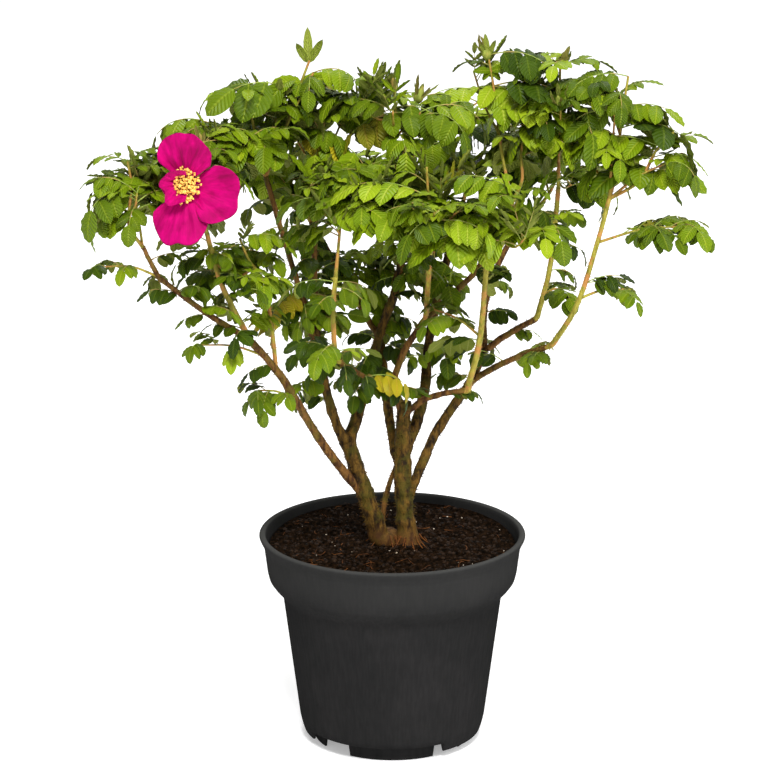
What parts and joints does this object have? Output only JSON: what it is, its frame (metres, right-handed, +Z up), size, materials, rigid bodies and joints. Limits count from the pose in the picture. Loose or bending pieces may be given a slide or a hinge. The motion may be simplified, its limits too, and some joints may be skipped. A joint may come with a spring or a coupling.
{
  "type": "potted rose bush",
  "caption": "Many-stemmed shrub rose with an open leafy crown and an open magenta flower, growing in compost in a round black nursery pot.",
  "frame": {"origin": "middle of the pot's flat underside, on the pot's axis, where it stands on the ground", "axes": "+Z up along the pot's axis; +X to the viewer's right, along the crown's widest span; +Y to the back, so the flower is at the front left"},
  "size_m": [0.52, 0.2969, 0.622],
  "materials": {
    "pot": "satin black moulded plastic",
    "soil": "dark, moist, crumbly peat compost",
    "old_bark": "old olive-brown bark with bristles",
    "cane": "brown canes with many small prickles",
    "green_shoot": "young green shoots flushed with orange",
    "leaf": "glossy, pleated mid green leaves",
    "bright_leaf": "young yellow-green leaves",
    "leaf_back": "pale, matt undersides of the leaves",
    "petal": "soft, crinkled magenta petals",
    "stamen": "yellow pollen"
  },
  "bodies": {
    "root": {"pot": "pot", "soil": "soil", "left_trunk": "old_bark", "centre_trunk": "old_bark", "sucker": "cane", "outer_left_cane": "cane", "left_cane_end": "cane", "far_left_shoot": "cane", "flower_shoot": "green_shoot", "left_inner_shoot": "green_shoot", "left_fork_outer": "old_bark", "left_fork_inner": "old_bark", "upper_left_bough": "cane", "left_shoulder_bough": "cane", "back_left_bough": "cane", "centre_fork_left": "old_bark", "centre_fork_right": "old_bark", "crossing_twig": "cane", "front_shoot": "green_shoot", "arching_cane": "cane", "front_middle_shoot": "green_shoot", "cross_branch": "cane", "green_shoot": "green_shoot", "right_cane": "old_bark", "right_cane_end": "cane", "inner_right_shoot": "green_shoot", "rear_cane": "cane", "outer_right_cane": "cane", "outer_right_shoot": "green_shoot", "foliage_top_sprig": "bright_leaf", "foliage_left_shoulder": "leaf", "foliage_far_left": "leaf", "foliage_behind_flower": "leaf", "foliage_left_low_spray": "leaf", "foliage_left_inner": "leaf", "foliage_upper_left": "leaf", "foliage_top_middle": "leaf", "foliage_front_left": "leaf", "foliage_front_middle": "bright_leaf", "foliage_low_middle": "leaf", "foliage_low_centre": "leaf", "foliage_left_cane_spray": "leaf", "foliage_lower_left_spray": "leaf", "foliage_right_peak": "bright_leaf", "foliage_right_top": "leaf", "foliage_right_shoulder": "leaf", "foliage_right_heart": "leaf", "foliage_right_side": "leaf", "foliage_far_right": "leaf", "foliage_front_right": "bright_leaf", "foliage_right_low_spray": "leaf", "foliage_right_small_spray": "leaf", "foliage_right_cane_spray": "leaf", "foliage_inner_right_spray": "leaf", "foliage_green_shoot_spray": "leaf", "foliage_centre_spray": "leaf", "foliage_back_left": "leaf", "foliage_back_middle": "leaf", "foliage_back_centre": "leaf", "foliage_back_right": "leaf"}
  },
  "joints": []
}
